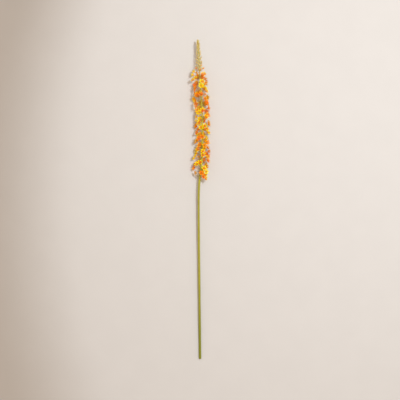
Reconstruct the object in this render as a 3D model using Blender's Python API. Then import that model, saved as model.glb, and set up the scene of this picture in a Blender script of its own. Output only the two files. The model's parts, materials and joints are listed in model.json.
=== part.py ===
"""A cut stem of foxtail lily, lying on a table: a bare green stalk that carries a long spike of small
orange flowers and ends in a tip of green buds.

Metres, +Z up. The stem lies along Y with its cut end at -Y and its bud tip at +Y. The origin is on the
table, under the middle of the whole stem. The stalk rests on the lower edge of its cut end and on two
flowers under the spike, so it rises gently from the cut end to the tip.
"""

import math
import random

import bmesh
import bpy
from mathutils import Vector
from mathutils.bvhtree import BVHTree

MM = 0.001
SEED = 20002
GOLDEN_ANGLE = math.radians(137.508)

# The stalk's centre line, from the cut end to the tip: along, sideways and height, in mm
STALK_LINE = (
    (-550.0, -2.5, 3.9),
    (-276.0, -5.2, 12.0),
    (0.0, -7.3, 19.8),
    (62.0, -4.9, 21.5),
    (120.0, 2.0, 23.1),
    (216.0, 5.5, 25.4),
    (296.0, 4.8, 27.2),
    (412.0, -2.8, 29.3),
    (545.0, -9.9, 31.0),
)
CUT_END = STALK_LINE[0][0] * MM
TIP = STALK_LINE[-1][0] * MM
STALK_SIDES = 10
CUT_RADIUS = 4.1 * MM
SPIKE_FOOT_RADIUS = 3.6 * MM
TIP_RADIUS = 1.1 * MM
BARE_STEP = 78.0 * MM
SPIKE_STEP = 24.0 * MM

# The spike of flowers, which grow on the stalk in pairs of neighbours along one spiral
SPIKE_FOOT = 74.0 * MM
SPIKE_HEAD = 427.0 * MM
PAIRS = 52
FIRST_TURN = math.radians(15)
REACH = (13.5 * MM, 25.0 * MM)
PETAL_CROSSING = 3.1 * MM
PAIR_LEAN = math.radians(9)
PAIR_STAGGER = 0.3 * MM
PAIR_TWIST = math.radians(5)
FLOWER_LIFT = math.radians(20)
TABLE_GAP = 0.45 * MM
NEIGHBOUR_GAP = 0.4 * MM

# Pairs with a turn of their own: two whose lower petals rest on the table, one on each side, and one
# over the top at the spike's foot, where a lone bud has the left side to itself
FEET = {10: math.radians(326), 12: math.radians(214)}
OWN_TURNS = {1: math.radians(72), **FEET}

# How far a flower or bud may stray from its place on the spiral, more at each try for a clear place
FIRST_PLAY = 0.2
PLAY_GROWTH = 0.01
TRIES = 400
STRAY_ALONG = 12.0 * MM
STRAY_TURN = math.radians(50)
BUD_STRAY_TURN = math.radians(40)

# One flower, round its own axis. A petal's middle and end: distance out, height, half width, keel's depth
HUB_SIDES = 6
HUB_FOOT_RADIUS = 1.15 * MM
HUB_RADIUS = 1.75 * MM
HUB_HEIGHT = 1.1 * MM
PETAL_MIDDLE = (5.6 * MM, 3.6 * MM, 2.8 * MM)
PETAL_KEEL = 0.85 * MM
PETAL_END = (9.8 * MM, 5.7 * MM, 1.9 * MM)
STAMEN_TIP = (3.1 * MM, 9.6 * MM)
SIZES = (0.97, 1.1)
CLOSING = (0.0, 0.65)
CLOSING_INWARD = 0.25
CLOSING_UPWARD = 0.3

# Flower stalks
SEAT_GAP = 0.3 * MM
PEDICEL_SIDES = 3
PEDICEL_RADII = (0.95 * MM, 0.7 * MM, 1.1 * MM)
PEDICEL_RISE = 9.0 * MM
PEDICEL_SINK = 1.6 * MM

# Orange buds about to open, each on its own flower stalk: root along, turn in degrees, reach and size
LARGE_BUDS = (
    (80.0, 166, 13.5, 1.25),
    (442.0, 170, 8.5, 0.9),
    (450.0, 40, 7.5, 0.75),
    (440.0, -5, 10.5, 0.95),
    (435.0, 75, 10.0, 1.0),
    (438.0, 262, 9.0, 0.9),
)
LARGE_BUD_LIFT = math.radians(38)
LARGE_BUD_RINGS = ((1.15 * MM, 0.0), (2.6 * MM, 3.4 * MM), (2.2 * MM, 6.4 * MM), (0.0, 9.2 * MM))

# Closed buds above the flowers: length, thickness and stalk of the lowest and of the topmost bud
BUDS = 70
BUD_FOOT = 447.0 * MM
BUD_HEAD = TIP - 2.3 * MM
BUD_CROWDING = 1.35
BUD_SIDES = 4
LOW_BUD = (7.0 * MM, 2.0 * MM, 6.5 * MM)
TOP_BUD = (4.6 * MM, 1.35 * MM, 2.3 * MM)
LOW_BUD_LEAN = math.radians(56)
TOP_BUD_LEAN = math.radians(18)
TIP_TAPER = 1.6
BUD_FOOT_SHARE = 0.32
BUD_BELLY_SHARE = 0.4

GREEN = (0.40, 0.40, 0.06, 1.0)
PETAL_TINTS = (
    ("petal_orange", (0.95, 0.46, 0.01, 1.0)),
    ("petal_yellow", (0.96, 0.62, 0.02, 1.0)),
    ("petal_red", (0.93, 0.27, 0.01, 1.0)),
)


def clear_scene():
    for obj in list(bpy.data.objects):
        bpy.data.objects.remove(obj, do_unlink=True)


def material(name, colour, roughness):
    made = bpy.data.materials.new(name)
    made.use_nodes = True
    shader = made.node_tree.nodes["Principled BSDF"]
    shader.inputs["Base Color"].default_value = colour
    shader.inputs["Roughness"].default_value = roughness
    shader.inputs["Metallic"].default_value = 0.0
    return made


def mix(low, high, share):
    return low + (high - low) * share


def line_value(along, column):
    """Sideways or height of the stalk's centre, on a smooth curve through STALK_LINE's points."""
    xs = [row[0] * MM for row in STALK_LINE]
    ys = [row[column] * MM for row in STALK_LINE]
    last = len(xs) - 1
    i = max(0, min(last - 1, sum(x <= along for x in xs) - 1))

    def slope(k):
        before, after = max(0, k - 1), min(last, k + 1)
        return (ys[after] - ys[before]) / (xs[after] - xs[before])

    span = xs[i + 1] - xs[i]
    t = (along - xs[i]) / span
    return (
        ys[i] * (2 * t**3 - 3 * t**2 + 1)
        + slope(i) * span * (t**3 - 2 * t**2 + t)
        + ys[i + 1] * (3 * t**2 - 2 * t**3)
        + slope(i + 1) * span * (t**3 - t**2)
    )


def stalk_centre(along):
    return Vector((line_value(along, 1), along, line_value(along, 2)))


def stalk_axes(along):
    """The way along the stalk, the level way across it and the way up from it."""
    step = 1.0 * MM
    way = (stalk_centre(along + step) - stalk_centre(along - step)).normalized()
    across = way.cross(Vector((0, 0, 1))).normalized()
    return way, across, across.cross(way)


def stalk_radius(along):
    if along < SPIKE_FOOT:
        return mix(CUT_RADIUS, SPIKE_FOOT_RADIUS, (along - CUT_END) / (SPIKE_FOOT - CUT_END))
    return mix(SPIKE_FOOT_RADIUS, TIP_RADIUS, (along - SPIKE_FOOT) / (TIP - SPIKE_FOOT))


def outward(along, turn):
    """The way straight out of the stalk, at an angle round it from its +X side over the top."""
    _, across, up = stalk_axes(along)
    return across * math.cos(turn) + up * math.sin(turn)


def spokes(facing, towards):
    """Two ways across an axis, the first as near to towards as it can be."""
    first = (towards - facing * towards.dot(facing)).normalized()
    return first, facing.cross(first)


class Flower:
    """Where one flower or large bud sits, its facing, its first petal's way, its size, how far it closes."""

    def __init__(self, seat, facing, towards, size, closing=0.0):
        self.seat = seat
        self.facing = facing
        self.towards = towards
        self.size = size
        self.closing = closing

    def at(self, out, height, angle, aside=0.0):
        """A point given by its distance out, height, angle round the flower, and shift across its petal."""
        first, second = spokes(self.facing, self.towards)
        ray = first * math.cos(angle) + second * math.sin(angle)
        across = self.facing.cross(ray)
        return self.seat + (ray * out + self.facing * height + across * aside) * self.size

    def petal_edge(self, station, angle, side):
        """A point on a petal's edge, which moves inward and upward as far as this flower closes."""
        out, height, half_width = station
        inward = 1 - CLOSING_INWARD * self.closing
        risen = height + out * CLOSING_UPWARD * self.closing
        return self.at(out * inward, risen, angle, half_width * inward * side)

    def lowest(self):
        turns = [math.radians(60 * i) for i in range(HUB_SIDES)]
        ends = [self.petal_edge(PETAL_END, turn, side).z for turn in turns for side in (-1, 1)]
        return min(ends + [self.at(*STAMEN_TIP, turn).z for turn in turns])


class Shape:
    """The surface of one small solid, to test its neighbours against."""

    def __init__(self, bm):
        self.tree = BVHTree.FromBMesh(bm)
        self.points = [vertex.co.copy() for vertex in bm.verts]
        self.centre = sum(self.points, Vector()) / len(self.points)
        self.radius = max((point - self.centre).length for point in self.points)
        bm.free()

    def clear_of(self, other):
        if (self.centre - other.centre).length > self.radius + other.radius + NEIGHBOUR_GAP:
            return True
        if self.tree.overlap(other.tree):
            return False
        mine = any(other.tree.find_nearest(point, NEIGHBOUR_GAP)[0] for point in self.points)
        theirs = any(self.tree.find_nearest(point, NEIGHBOUR_GAP)[0] for point in other.points)
        return not mine and not theirs


def bridge(bm, low, high):
    """Faces between two rings of vertices, or between a ring and one point."""
    count = len(low)
    for i in range(count):
        j = (i + 1) % count
        if len(high) == 1:
            bm.faces.new((low[i], low[j], high[0]))
        else:
            bm.faces.new((low[i], low[j], high[j], high[i]))


def ring(bm, centre, facing, towards, radius, sides):
    first, second = spokes(facing, towards)
    made = []
    for i in range(sides):
        angle = 2 * math.pi * (i + 0.5) / sides
        spoke = first * math.cos(angle) + second * math.sin(angle)
        made.append(bm.verts.new(centre + spoke * radius))
    return made


def tube(stations, towards, sides):
    """A closed solid through rings, each given by its centre, facing and radius, which may end in a point."""
    bm = bmesh.new()
    rows = []
    for centre, facing, radius in stations:
        if radius > 0:
            rows.append(ring(bm, centre, facing, towards, radius, sides))
        else:
            rows.append([bm.verts.new(centre)])
    for low, high in zip(rows, rows[1:]):
        bridge(bm, low, high)
    bm.faces.new(rows[0])
    if len(rows[-1]) > 1:
        bm.faces.new(rows[-1])
    return bm


def stalk():
    """The bare stalk and the core of the spike, tapering to the tip."""
    bare = round((SPIKE_FOOT - CUT_END) / BARE_STEP)
    spike = round((TIP - SPIKE_FOOT) / SPIKE_STEP)
    places = [mix(CUT_END, SPIKE_FOOT, i / bare) for i in range(bare)]
    places += [mix(SPIKE_FOOT, TIP, i / spike) for i in range(spike + 1)]
    stations = [(stalk_centre(along), stalk_axes(along)[0], stalk_radius(along)) for along in places]
    return tube(stations, Vector((0, 0, 1)), STALK_SIDES)


def pedicel(flower):
    """The thin stalk of one flower, bent from the main stalk to the flower's own axis."""
    end = flower.seat - flower.facing * SEAT_GAP
    root_along = flower.seat.y - PEDICEL_RISE
    foot = stalk_centre(root_along)
    way, _, _ = stalk_axes(root_along)
    out, _ = spokes(way, end - foot)
    root = foot + out * (stalk_radius(root_along) - PEDICEL_SINK)
    leaving = (out + way * 0.5).normalized()
    bend = (root + end) / 2 + (leaving - flower.facing) * (end - root).length / 8
    stations = (
        (root, leaving, PEDICEL_RADII[0]),
        (bend, (end - root).normalized(), PEDICEL_RADII[1]),
        (end, flower.facing, PEDICEL_RADII[2]),
    )
    return tube(stations, way, PEDICEL_SIDES)


def closed_bud(k, dice, play):
    """One closed bud with its short stalk. Buds get smaller, closer and more upright towards the tip."""
    share = k / (BUDS - 1)
    along = mix(BUD_FOOT, BUD_HEAD, 1 - (1 - share) ** BUD_CROWDING)
    turn = k * GOLDEN_ANGLE + dice.uniform(-1, 1) * BUD_STRAY_TURN * play
    length, thickness, stem = (mix(low, top, share) for low, top in zip(LOW_BUD, TOP_BUD))
    stem *= dice.uniform(0.8, 1.2)
    lean = mix(LOW_BUD_LEAN, TOP_BUD_LEAN, share**TIP_TAPER) + math.radians(dice.uniform(-7, 7))
    way, _, _ = stalk_axes(along)
    pointing = outward(along, turn) * math.sin(lean) + way * math.cos(lean)
    root = stalk_centre(along)
    neck = stalk_radius(along) + stem
    stations = (
        (root, pointing, thickness * BUD_FOOT_SHARE),
        (root + pointing * (neck + length * BUD_BELLY_SHARE), pointing, thickness),
        (root + pointing * (neck + length), pointing, 0),
    )
    return tube(stations, way, BUD_SIDES)


def petal(bm, flower, foot, angle):
    """A petal that grows out of one side of the hub, with a keel under its middle and a blunt end."""
    inner_right, inner_left, low_left, low_right = foot
    left, right = (bm.verts.new(flower.petal_edge(PETAL_MIDDLE, angle, side)) for side in (1, -1))
    end_left, end_right = (bm.verts.new(flower.petal_edge(PETAL_END, angle, side)) for side in (1, -1))
    keel = bm.verts.new((left.co + right.co) / 2 - flower.facing * PETAL_KEEL * flower.size)
    bm.faces.new((inner_right, inner_left, left, right))
    bm.faces.new((right, left, end_left, end_right))
    bm.faces.new((inner_left, low_left, keel, left))
    bm.faces.new((low_right, inner_right, right, keel))
    bm.faces.new((low_left, low_right, keel))
    bm.faces.new((left, keel, end_left))
    bm.faces.new((keel, right, end_right))
    bm.faces.new((keel, end_right, end_left))


def open_flower(flower):
    """Six petals round a small hub, with six stamens standing up in the middle."""
    bm = bmesh.new()
    low, high = [], []
    for i in range(HUB_SIDES):
        angle = math.radians(60 * i - 30)
        low.append(bm.verts.new(flower.at(HUB_FOOT_RADIUS, 0.0, angle)))
        high.append(bm.verts.new(flower.at(HUB_RADIUS, HUB_HEIGHT, angle)))
    centre = bm.verts.new(flower.at(0.0, HUB_HEIGHT, 0.0))
    for i in range(HUB_SIDES):
        j = (i + 1) % HUB_SIDES
        petal(bm, flower, (high[i], high[j], low[j], low[i]), math.radians(60 * i))
        stamen = bm.verts.new(flower.at(*STAMEN_TIP, math.radians(60 * i)))
        bridge(bm, [high[j], high[i], centre], [stamen])
    bm.faces.new(low)
    return bm


def large_bud(flower):
    stations = [
        (flower.seat + flower.facing * height * flower.size, flower.facing, radius * flower.size)
        for radius, height in LARGE_BUD_RINGS
    ]
    return tube(stations, flower.towards, HUB_SIDES)


def pair_of_flowers(k, dice, play):
    """Two flowers side by side, whose nearest petals cross. More play strays further from the spiral."""
    along = mix(SPIKE_FOOT, SPIKE_HEAD, k / (PAIRS - 1)) + dice.uniform(-1, 1) * STRAY_ALONG * play
    turn = FIRST_TURN + k * GOLDEN_ANGLE + dice.uniform(-1, 1) * STRAY_TURN * play
    turn = OWN_TURNS.get(k, turn)
    tilt = math.radians(dice.uniform(0, 180))
    lift = FLOWER_LIFT + math.radians(dice.uniform(-12, 12))
    size = dice.uniform(*SIZES)
    closing = dice.uniform(*CLOSING)
    reach = dice.uniform(*REACH)
    way, _, _ = stalk_axes(along)
    out = outward(along, turn)
    facing = out * math.cos(lift) + way * math.sin(lift)
    around, along_spike = spokes(facing, way.cross(out))
    side = around * math.cos(tilt) + along_spike * math.sin(tilt)

    def flowers(distance):
        middle = stalk_centre(along) + out * distance + way * PEDICEL_RISE
        half_spacing = (PETAL_END[0] * (1 - CLOSING_INWARD * closing) - PETAL_CROSSING) * size
        made = []
        for sign in (-1, 1):
            seat = middle + side * (sign * half_spacing) + facing * (sign * PAIR_STAGGER)
            face = (facing + side * (sign * math.tan(PAIR_LEAN))).normalized()
            towards = side * -sign + facing.cross(side) * (max(0, sign) * math.sin(PAIR_TWIST))
            made.append(Flower(seat, face, towards, size, closing))
        return made

    made = flowers(reach)
    gap = 0.0 if k in FEET else TABLE_GAP
    lack = gap - min(flower.lowest() for flower in made)
    if lack > 0 or k in FEET:
        made = flowers(reach + lack / out.z)
    return made


def place_large_buds():
    made = []
    for along, turn, reach, size in LARGE_BUDS:
        along *= MM
        way, _, _ = stalk_axes(along)
        out = outward(along, math.radians(turn))
        facing = out * math.cos(LARGE_BUD_LIFT) + way * math.sin(LARGE_BUD_LIFT)
        seat = stalk_centre(along) + out * reach * MM + way * PEDICEL_RISE
        made.append(Flower(seat, facing, way, size))
    return made


def first_clear(draw, is_clear):
    """The first thing drawn that is clear of its neighbours. Each try may stray further than the last."""
    for attempt in range(TRIES):
        drawn = draw(FIRST_PLAY + PLAY_GROWTH * attempt)
        if is_clear(drawn):
            return drawn
    raise ValueError("no clear place was found")


def place_pairs(buds):
    """Every pair of flowers, each clear of the stalk, of the large buds and of the pairs before it."""
    dice = random.Random(SEED)
    orange = [Shape(large_bud(bud)) for bud in buds]
    green = [Shape(pedicel(bud)) for bud in buds] + [Shape(stalk())]
    made = []

    def is_clear(pair):
        blooms = [Shape(open_flower(flower)) for flower in pair]
        shoots = [Shape(pedicel(flower)) for flower in pair]
        return (
            all(bloom.clear_of(other) for bloom in blooms for other in orange + green)
            and all(shoot.clear_of(other) for shoot in shoots for other in orange)
            and blooms[0].clear_of(shoots[1])
            and blooms[1].clear_of(shoots[0])
        )

    for k in range(PAIRS):
        pair = first_clear(lambda play, k=k: pair_of_flowers(k, dice, play), is_clear)
        orange += [Shape(open_flower(flower)) for flower in pair]
        green += [Shape(pedicel(flower)) for flower in pair]
        made.append(pair)
    return made


def place_closed_buds(buds):
    """Every closed bud, clear of the large buds."""
    dice = random.Random(SEED + 1)
    orange = [Shape(large_bud(bud)) for bud in buds]

    def is_clear(bud):
        shape = Shape(bud.copy())
        return all(shape.clear_of(other) for other in orange)

    return [first_clear(lambda play, k=k: closed_bud(k, dice, play), is_clear) for k in range(BUDS)]


def new_object(name, bm, colour):
    bmesh.ops.recalc_face_normals(bm, faces=bm.faces)
    mesh = bpy.data.meshes.new(name)
    bm.to_mesh(mesh)
    bm.free()
    mesh.materials.append(colour)
    made = bpy.data.objects.new(name, mesh)
    bpy.context.scene.collection.objects.link(made)
    return made


def join(base, others):
    """One Boolean union of the other solids into the base, after which they are removed."""
    group = bpy.data.collections.new("joined")
    bpy.context.scene.collection.children.link(group)
    for other in others:
        group.objects.link(other)
    union = base.modifiers.new("join", "BOOLEAN")
    union.operation = "UNION"
    union.operand_type = "COLLECTION"
    union.collection = group
    union.solver = "EXACT"
    graph = bpy.context.evaluated_depsgraph_get()
    joined = bpy.data.meshes.new_from_object(base.evaluated_get(graph))
    base.modifiers.clear()
    base.data = joined
    for other in others:
        bpy.data.objects.remove(other, do_unlink=True)
    bpy.data.collections.remove(group)


def main():
    clear_scene()
    green = material("stalk_green", GREEN, 0.55)
    tints = [material(name, colour, 0.5) for name, colour in PETAL_TINTS]
    buds = place_large_buds()
    pairs = place_pairs(buds)
    shoots = [new_object("pedicel", pedicel(flower), green) for pair in [buds, *pairs] for flower in pair]
    shoots += [new_object("closed_bud", bud, green) for bud in place_closed_buds(buds)]
    join(new_object("flower_stalk", stalk(), green), shoots)
    for k, bud in enumerate(buds, 1):
        new_object(f"large_bud_{k}", large_bud(bud), tints[0])
    for k, pair in enumerate(pairs, 1):
        tint = tints[k % len(tints)]
        base, partner = (new_object(f"bloom_pair_{k:02d}", open_flower(flower), tint) for flower in pair)
        join(base, [partner])


main()
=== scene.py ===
"""The finish of a cut stem of foxtail lily, lying on a pale floor: a ribbed green stalk, open flowers with
six petals, six stamens and a pistil each, orange buds about to open, and the closed buds of the tip.

Metres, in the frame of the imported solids. The open flowers and the orange buds of the neck grow on the seats
of their own solids. Half-open flowers and late buds find places among them.
"""

import functools
import json
import math
import random

import bmesh
import bpy
import numpy as np
from bpy.props import FloatProperty, FloatVectorProperty, PointerProperty
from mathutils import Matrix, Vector
from mathutils.bvhtree import BVHTree


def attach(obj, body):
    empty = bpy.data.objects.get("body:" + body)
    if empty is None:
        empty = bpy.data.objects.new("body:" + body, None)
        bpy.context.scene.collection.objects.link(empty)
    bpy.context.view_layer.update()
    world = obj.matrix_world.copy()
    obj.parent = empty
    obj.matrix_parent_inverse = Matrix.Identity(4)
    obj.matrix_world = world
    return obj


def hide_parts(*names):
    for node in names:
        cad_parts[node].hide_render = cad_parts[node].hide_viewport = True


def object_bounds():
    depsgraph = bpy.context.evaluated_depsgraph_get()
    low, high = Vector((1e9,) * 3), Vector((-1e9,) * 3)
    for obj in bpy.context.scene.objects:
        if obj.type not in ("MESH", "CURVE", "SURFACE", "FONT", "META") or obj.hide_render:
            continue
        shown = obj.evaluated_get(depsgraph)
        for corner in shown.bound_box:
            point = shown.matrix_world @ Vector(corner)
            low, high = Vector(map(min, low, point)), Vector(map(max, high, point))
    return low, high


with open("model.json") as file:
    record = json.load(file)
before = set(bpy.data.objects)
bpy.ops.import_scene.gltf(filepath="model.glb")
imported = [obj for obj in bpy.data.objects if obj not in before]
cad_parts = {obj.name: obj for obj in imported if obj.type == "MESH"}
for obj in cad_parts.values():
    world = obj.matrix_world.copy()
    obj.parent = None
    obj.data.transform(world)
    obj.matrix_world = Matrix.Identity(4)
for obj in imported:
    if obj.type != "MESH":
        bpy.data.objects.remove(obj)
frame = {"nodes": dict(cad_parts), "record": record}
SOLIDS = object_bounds()

bl_info = {
    "name": "Foxtail Lily Spike",
    "version": (1, 0, 0),
    "blender": (4, 5, 0),
    "location": "View3D > Sidebar > Foxtail Lily",
    "description": "Grows the finished stalk, flowers and buds of a cut foxtail lily round its solids",
    "category": "Add Mesh",
}

MM = 0.001
BODY = "root"
GOLDEN_ANGLE = math.radians(137.508)

# What every point of a piece carries for its finish: how far it is along its part and across from the
# part's middle, whether it is on the inner face, and the part's own tint
TRAITS = ("along", "across", "inner", "tint")

# Where a skin bends more than this, its shading shows an edge
SHARPEST_BEND = math.radians(55)

# The order of a flower's materials
PETAL_FINISH, THREAD_FINISH, POLLEN_FINISH, PISTIL_FINISH, SPRIG_FINISH = range(5)

# One seed for each piece's random draws
STALK_SEED, BRACT_SEED, CLOSED_BUD_SEED, ORANGE_BUD_SEED, FLOWER_SEED, HALF_OPEN_SEED = range(11, 17)

# The stalk's centre line, from the cut end to the tip: along, sideways and height, in mm
STALK_LINE = (
    (-550.0, -2.5, 3.9),
    (-276.0, -5.2, 12.0),
    (0.0, -7.3, 19.8),
    (62.0, -4.9, 21.5),
    (120.0, 2.0, 23.1),
    (216.0, 5.5, 25.4),
    (296.0, 4.8, 27.2),
    (412.0, -2.8, 29.3),
    (545.0, -9.9, 31.0),
)
CUT_END = STALK_LINE[0][0] * MM
TIP = STALK_LINE[-1][0] * MM
SPIKE_FOOT = 74.0 * MM
SPIKE_HEAD = 432.0 * MM
CUT_RADIUS = 4.1 * MM
SPIKE_FOOT_RADIUS = 3.6 * MM
TIP_RADIUS = 1.1 * MM

# The stalk's skin. Its ribs sway by a turn and at a pitch, and its girth swells by a height, pitch and start
STALK_STEP = 5.0 * MM
STALK_SIDES = 36
STALK_RIBS = 9
RIB_SWAY = (1.2, 9.0)
SWELLS = ((0.10 * MM, 41.0, 0.0), (0.06 * MM, 97.0, 1.0))

# The cut face: how wide its rim and pith are, how deep the pith lies and how far the edge is rounded
RIM_SHARE = 0.93
PITH_SHARE = 0.82
PITH_DEPTH = 0.35 * MM
EDGE_ROUNDING = 0.3 * MM

# A flower's solid, on a flower of size 1: what its hub, stamens and petals tell of its seat, size and
# closing, and how far apart the copies of a corner may lie
HUB_HEIGHT = 1.1 * MM
STAMEN_TIP_HEIGHT = 9.6 * MM
SHORTEST_STAMEN = 6.5 * MM
PETAL_END_OUT = (8.2 * MM, 10.1 * MM)
PETAL_END_HEIGHT = 5.7 * MM
CLOSING_RISE = 2.94 * MM
CLOSING_INWARD = 0.25
CLOSING_UPWARD = 0.3
CORNER_GAP = 0.02 * MM

# A flower's own stalk: how far below the flower it leaves the main stalk, and its radius along it, in mm
PEDICEL_RISE = 9.0 * MM
PEDICEL_RADII = ((0, 1.15), (0.12, 0.72), (0.5, 0.50), (0.85, 0.56), (1, 0.74))
PEDICEL_ROOT_DEPTH = 0.9 * MM
PEDICEL_END_GAP = 0.3 * MM

# Petals of a flower of size 1. They rise by the slope and bow over by the square of their way out
PETALS = 6
PETAL_TURN = 2 * math.pi / PETALS
PETAL_ROWS = np.sin(np.linspace(0, 1.5, 13))
PETAL_SPOTS = np.array((-1.0, -0.62, -0.26, 0.0, 0.26, 0.62, 1.0))
PETAL_CLAW_OUT = 1.25 * MM
PETAL_CLAW_HEIGHT = 0.75 * MM
PETAL_CLAW_WIDTH = 0.28
PETAL_SLOPE = 0.70
PETAL_BOW = 13.5
PETAL_WIDEST = 0.52
OUTER_NARROWING = 0.88
OUTER_DROP = 0.28 * MM
PETAL_LENGTHS = (0.92, 1.02)
PETAL_WIDTHS = (0.93, 1.03)
PETAL_CURLS = (-3.0 * MM, 7.5 * MM)
CURL_START = 0.6
EDGE_WAVES = (0.05 * MM, 0.30 * MM)
EDGE_WAVE_COUNT = 1.4
PETAL_TWIST = math.radians(9)
PETAL_SWING = 0.55 * MM
PETAL_CUPS = (0.14, 0.30)
GROOVE_WIDTH, KEEL_WIDTH = 0.2, 0.3
TINT_PLAY = 0.2

# Stamens of a flower of size 1: the out and height of foot, knee and head, and how far they stray
STAMEN_FOOT = (1.15 * MM, 0.9 * MM)
KNEE_OUTS = (1.7 * MM, 2.3 * MM)
KNEE_HEIGHT = 4.9 * MM
KNEE_STRAY = 0.35 * MM
HEAD_OUTS = (2.3 * MM, 3.3 * MM)
HEAD_HEIGHTS = (7.7 * MM, 8.5 * MM)
HEAD_STRAY = 0.7 * MM
STAMEN_TURN = math.radians(7)
FILAMENT_ENDS = (1.25, 0.70)
ANTHER_LEANS = (math.radians(15), math.radians(75))
ANTHER_RISE = 0.25 * MM
ANTHER_OUTLINE = ((0, 0.45), (0.25, 1.0), (0.7, 0.95), (1, 0.4))
ANTHER_LOBING = 0.22

# Radius and height of the cup under the petals, and of the three-lobed ovary under its style
RECEPTACLE = MM * np.array(((0.7, -0.75), (0.78, -0.35), (1.15, 0.1), (1.46, 0.6), (1.38, 1.05), (0.85, 1.2)))
OVARY = MM * np.array(((0.70, 0.95), (1.15, 1.40), (1.36, 2.10), (1.22, 2.75), (0.75, 3.30), (0.34, 3.75)))
OVARY_LOBING = 0.09
STYLE_RADIUS = 0.19 * MM
STYLE_SHARES = (0.2, 0.5, 0.8, 0.93)
STYLE_BENDS = (0.2 * MM, 0.9 * MM)
STYLE_BEND_FOOT = 3.0 * MM
STYLE_BEND_SPAN = 6.0 * MM
STIGMA = ((0.34 * MM, 0.0), (0.20 * MM, 0.25 * MM))

# The closed buds' places, as their solids have them. The pairs are for the lowest and the top bud:
# length, thickness and stem, and how far it leans from the stalk
BUD_SEED = 20003
BUDS = 70
BUD_FOOT = 447.0 * MM
BUD_HEAD = TIP - 2.3 * MM
BUD_CROWDING = 1.35
LOW_BUD = (7.0 * MM, 2.0 * MM, 6.5 * MM)
TOP_BUD = (4.6 * MM, 1.35 * MM, 2.3 * MM)
BUD_LEANS = (math.radians(56), math.radians(18))
BUD_LEAN_PLAY = math.radians(7)
TIP_TAPER = 1.6
BUD_STRAY_TURN = math.radians(40)
BUD_STEM_PLAY = (0.8, 1.2)
BUD_FOOT_SHARE = 0.32
BUD_BELLY_SHARE = 0.4
FIRST_PLAY = 0.2
PLAY_GROWTH = 0.01
NEIGHBOUR_GAP = 0.4 * MM

# Buds. The stations are shares of the length and of the radius, and the grids are rings and sides
BUD_STATIONS = ((0, 0.34), (0.12, 0.68), (0.34, 0.98), (0.62, 0.98), (0.84, 0.68), (0.95, 0.36), (1, 0.1))
LARGE_STATIONS = ((0, 0.36), (0.12, 0.66), (0.36, 0.99), (0.55, 1), (0.75, 0.8), (0.9, 0.42), (1, 0.08))
LARGE_BUD_LENGTH = 9.2 * MM
LARGE_BUD_RADIUS = 2.6 * MM
LARGE_BUD_SLIMMING = 0.97
LARGE_BUD_SINK = 0.5 * MM
BUD_GIRTH = 1.08
BUD_STEM_SHARE = 0.36
BUD_STEM_ENDS = (0.5 * MM, 0.3 * MM)
CLOSED_BUD_GRID = (10, 14)
LARGE_BUD_GRID = (18, 30)
LATE_BUD_GRID = (14, 24)
BUD_WRAP = 0.5
BUD_SWELLING = 0.13
BUD_BEND = 0.05

# Bracts: their lengths and widths as shares, and the hair-like ends that pass the closed buds. They leave the
# stalk below what they grow under. Their end and bend are shares of the length along the stalk and out from
# it. The rib's two values are its upper and its lower face
BRACT_LENGTHS = (0.75, 1.15)
BUD_BRACT_LENGTHS = (0.85, 1.10)
BUD_BRACT_WIDTHS = (0.8, 0.6)
BRACT_HAIRS = (2.7 * MM, 6.3 * MM)
BRACT_DROP = 1.3 * MM
BUD_BRACT_DROP = 1.0 * MM
BRACT_END = (0.62, 0.62)
BRACT_BEND = (0.42, 0.16)
BRACT_SINK = 0.2 * MM
BRACT_ROOT_DEPTH = 0.3 * MM
BRACT_TIP = 0.06 * MM
BRACT_FOLD = 0.35
BRACT_EDGE = 0.07 * MM
BRACT_RIB = (0.05 * MM, -0.09 * MM)

# Half-open flowers and late buds, which fill the gaps that the solids' flowers leave. Their rules are how far
# out they stand, their sizes, how far they close and how far they lift towards the tip
SMALL_SEED = 20006
HALF_OPEN = 10
LATE_BUDS = 32
SMALL_TRIES = 30
SMALL_LOWEST = 0.8 * MM
SMALL_TOP = 10.5 * MM
SMALL_STRAY_TURN = 0.5
SMALL_LIFT_PLAY = math.radians(12)
HALF_OPEN_RULE = ((10.0 * MM, 22.0 * MM), (0.58, 0.80), (1.0, 2.2), math.radians(24))
LATE_BUD_RULE = ((9.0 * MM, 20.0 * MM), (0.66, 0.9), (0.0, 0.0), math.radians(40))
PLAIN_PETAL = ((1.3 * MM, 0.6 * MM, 0.8 * MM), (5.6 * MM, 3.6 * MM, 2.3 * MM), (9.8 * MM, 5.7 * MM, 1.3 * MM))
PLAIN_STALK_RADIUS = 0.7 * MM

# Colours that the settings don't hold: the threads' from foot to head, the flower's tinge on its cup and
# stalk, and a bud's body, ribs and foot
PITH = (0.62, 0.66, 0.32)
FILAMENT = ((0.85, 0.20, 0.02), (0.92, 0.52, 0.06))
STYLE_HEAD = (0.90, 0.60, 0.12)
CUP_BLUSH = (0.80, 0.30, 0.03)
STALK_BLUSH = (0.75, 0.36, 0.04)
CLOSED_BUD_RIB = (0.42, 0.24, 0.06)
ORANGE_BUD = ((0.90, 0.42, 0.004), (0.78, 0.20, 0.004), (0.55, 0.42, 0.02))
BROWNED_BUD = ((0.66, 0.32, 0.02), (0.42, 0.14, 0.02), (0.50, 0.36, 0.03))

# Nothing reaches below this height, and what is lower than the second flattens softly on the floor
FLOOR_GAP = 0.06 * MM
SOFT_FLOOR = 0.9 * MM

# The lamps' place, what they point at, the softness of the spot's rim, and the camera's place and reach
LAMP_PLACE = (0.85, 0.75, 2.75)
LAMP_AIM = (1.3, 0.2, 0.0)
SPOT_BLEND = 0.03
PICTURE_MIDDLE = (-2.8 * MM, -0.5 * MM)
VIEW_REACH = 200.0


def length_setting(name, description, default):
    return FloatProperty(name=name, description=description, default=default, unit="LENGTH")


def colour_setting(name, description, default):
    return FloatVectorProperty(name=name, description=description, default=default, subtype="COLOR")


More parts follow.
